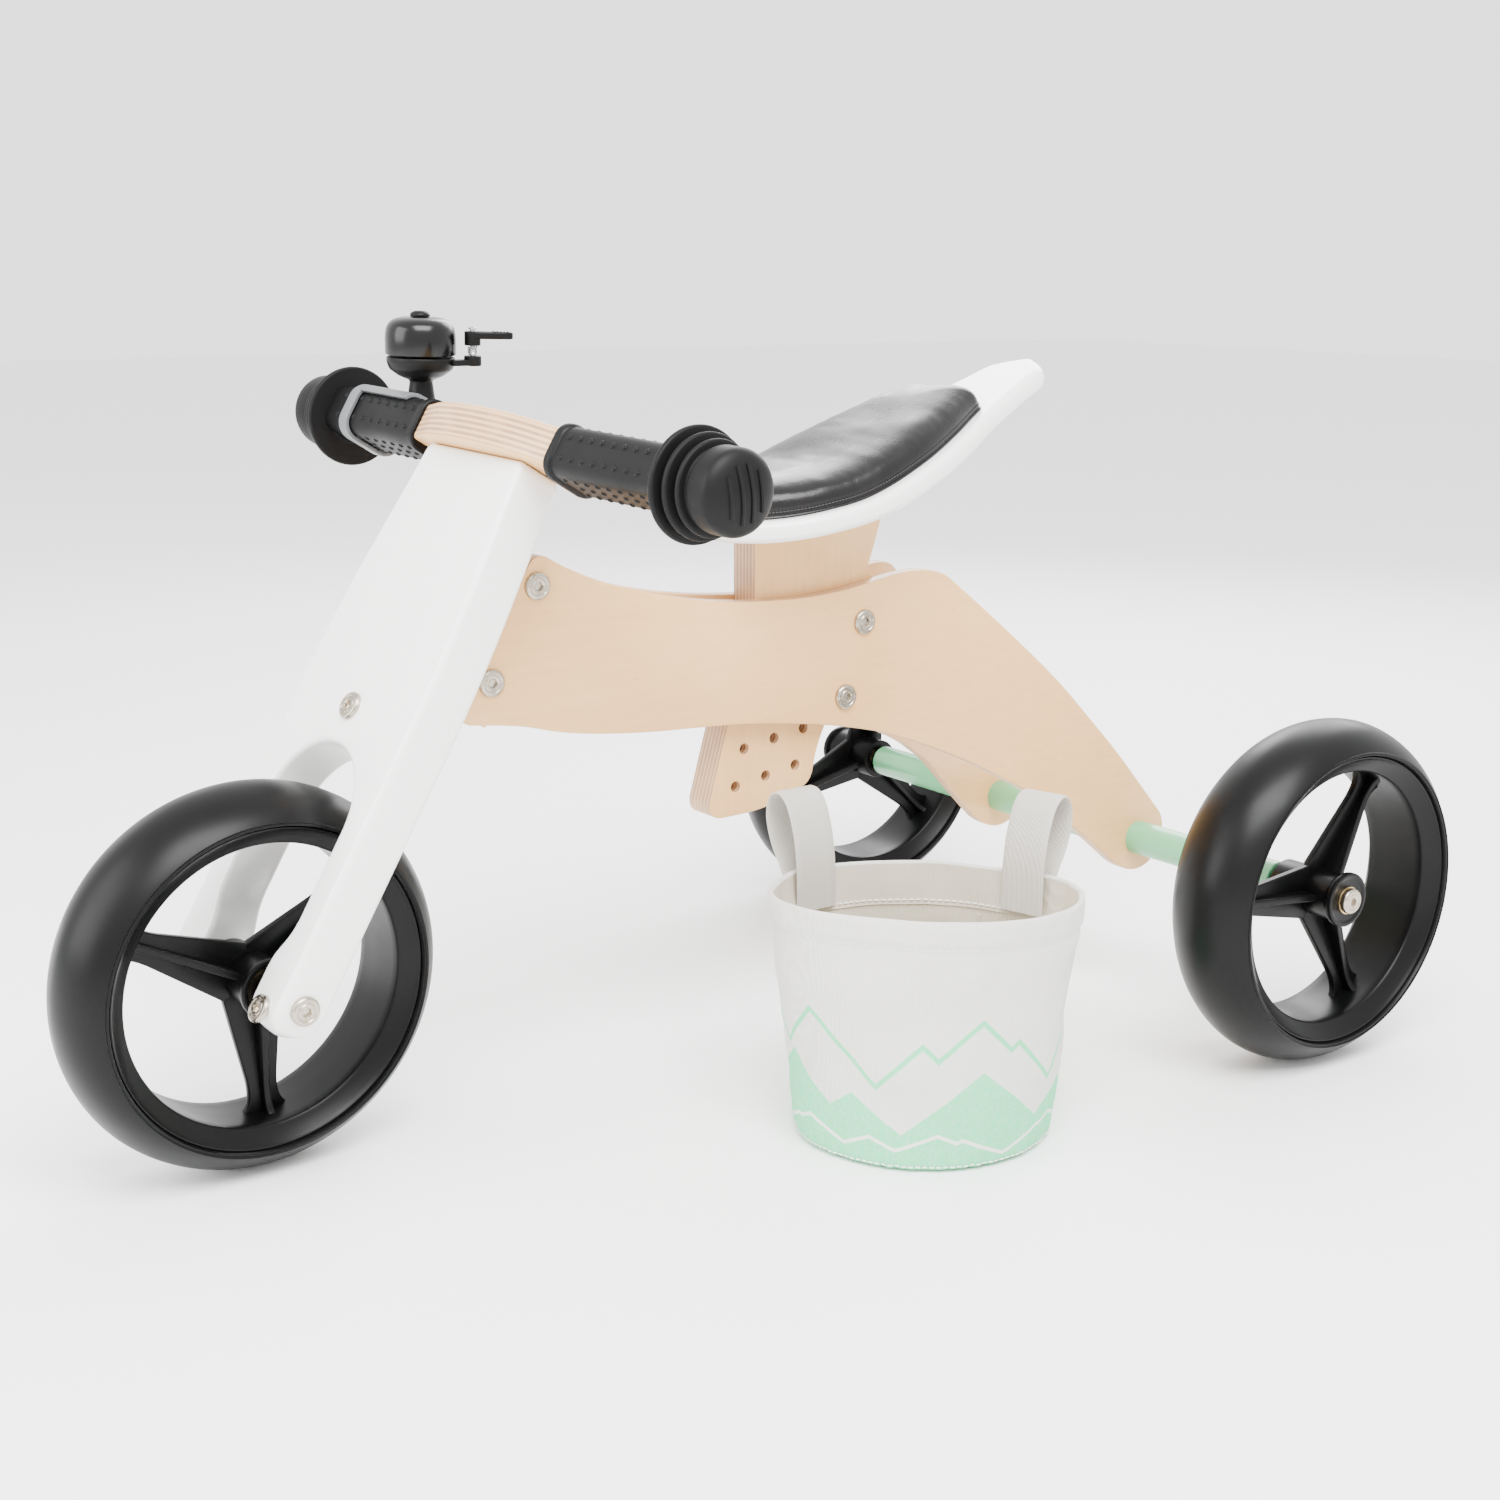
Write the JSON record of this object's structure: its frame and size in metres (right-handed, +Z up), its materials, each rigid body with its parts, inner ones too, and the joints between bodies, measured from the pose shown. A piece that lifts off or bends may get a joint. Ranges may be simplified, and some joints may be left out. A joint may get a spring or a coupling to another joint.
{
  "type": "balance bike",
  "caption": "Child's wooden balance bike on three wheels with a moulded fork board, padded saddle, bell and a canvas bag.",
  "frame": {"origin": "on the ground under the middle of the bike", "axes": "+X forward, +Y to the rider's left, +Z up"},
  "size_m": [0.7558, 0.4774, 0.4195],
  "materials": {
    "side_plywood": "clear-lacquered birch veneer, satin",
    "post_plywood": "clear-lacquered birch plywood, satin, ply edges showing",
    "bar_plywood": "clear-lacquered birch plywood, satin, ply edges showing",
    "white_board": "white lacquer on wood, satin",
    "mint_beam": "mint lacquer on turned wood, satin",
    "saddle_cover": "black coated imitation leather, glossy",
    "tyre": "smooth foam rubber, satin",
    "wheel_plastic": "moulded black nylon, satin",
    "grip_rubber": "moulded soft rubber, matte",
    "nickel": "nickel-plated steel, bright",
    "zinc_steel": "zinc-plated steel, satin",
    "bush_steel": "pressed steel bush, satin",
    "bell_gloss": "gloss black paint",
    "bell_plastic": "moulded black plastic, matte",
    "bag_canvas": "woven canvas with a printed mint pattern of zigzags",
    "bag_webbing": "cotton webbing"
  },
  "bodies": {
    "frame": {"side_plate_left": "side_plywood", "side_plate_right": "side_plywood", "seat_post": "post_plywood", "seat_board": "white_board", "seat_pad": "saddle_cover", "seat_screw_front": "zinc_steel", "seat_screw_rear": "zinc_steel", "head_upper_bolt": "nickel", "head_upper_nut": "nickel", "head_lower_bolt": "nickel", "head_lower_nut": "nickel", "post_upper_bolt": "nickel", "post_upper_nut": "nickel", "post_lower_bolt": "nickel", "post_lower_nut": "nickel", "rear_beam": "mint_beam", "rear_axle_rod": "zinc_steel", "rear_axle_bolt_left": "nickel", "rear_axle_bolt_right": "nickel", "rear_spacer_left": "wheel_plastic", "rear_spacer_right": "wheel_plastic", "head_block": "post_plywood"},
    "rear_wheel_left": {"tyre_rear_left": "tyre", "rim_rear_left": "wheel_plastic", "bush_rear_left": "bush_steel"},
    "rear_wheel_right": {"tyre_rear_right": "tyre", "rim_rear_right": "wheel_plastic", "bush_rear_right": "bush_steel"},
    "steering": {"steering_bracket_lower": "zinc_steel", "steering_bracket_upper": "zinc_steel", "steering_rod": "zinc_steel", "steering_washer": "zinc_steel", "steering_bracket_screw": "zinc_steel", "steering_bracket_bolt": "nickel", "fork_board": "white_board", "fork_screw_left": "nickel", "fork_screw_right": "nickel", "front_axle_rod": "zinc_steel", "front_axle_bolt_left": "nickel", "front_axle_bolt_right": "nickel", "handlebar": "bar_plywood", "handlebar_screw_left": "nickel", "handlebar_screw_right": "nickel", "grip_left": "grip_rubber", "grip_right": "grip_rubber", "bell_clamp": "bell_plastic", "bell_base": "bell_plastic", "bell_dome": "bell_gloss", "bell_cap_nut": "bell_plastic", "bell_lever_pin": "zinc_steel", "bell_spring": "zinc_steel"},
    "front_wheel": {"tyre_front": "tyre", "rim_front": "wheel_plastic", "bush_front": "bush_steel"},
    "bell_lever": {"bell_lever": "bell_plastic"},
    "bag": {"bag": "bag_canvas", "bag_strap_front": "bag_webbing", "bag_strap_rear": "bag_webbing"}
  },
  "joints": [
    {"name": "steering", "type": "hinge", "parent": "frame", "child": "steering", "pos_m": [0.14924, 0, 0.2644], "axis": [-0.5075, 0, 0.8616], "range_deg": [-34, 26]},
    {"name": "front_wheel", "type": "hinge", "parent": "steering", "child": "front_wheel", "pos_m": [0.27794, 0.00192, 0.09997], "axis": [-0.0601, 0.9976, -0.0354], "continuous": true},
    {"name": "rear_wheel_left", "type": "hinge", "parent": "frame", "child": "rear_wheel_left", "pos_m": [-0.278, 0.2095, 0.1], "axis": [0, 1, 0], "continuous": true},
    {"name": "rear_wheel_right", "type": "hinge", "parent": "frame", "child": "rear_wheel_right", "pos_m": [-0.278, -0.2095, 0.1], "axis": [0, 1, 0], "continuous": true},
    {"name": "bell_lever", "type": "hinge", "parent": "steering", "child": "bell_lever", "pos_m": [0.0981, -0.08124, 0.40652], "axis": [-0.0011, 0.0354, 0.9994], "range_deg": [0, 25], "stiffness_Nm_per_rad": 0.03},
    {"name": "bag_lift", "type": "slide", "parent": "frame", "child": "bag", "axis": [0, 0, 1], "range_m": [0, 0.15]}
  ]
}
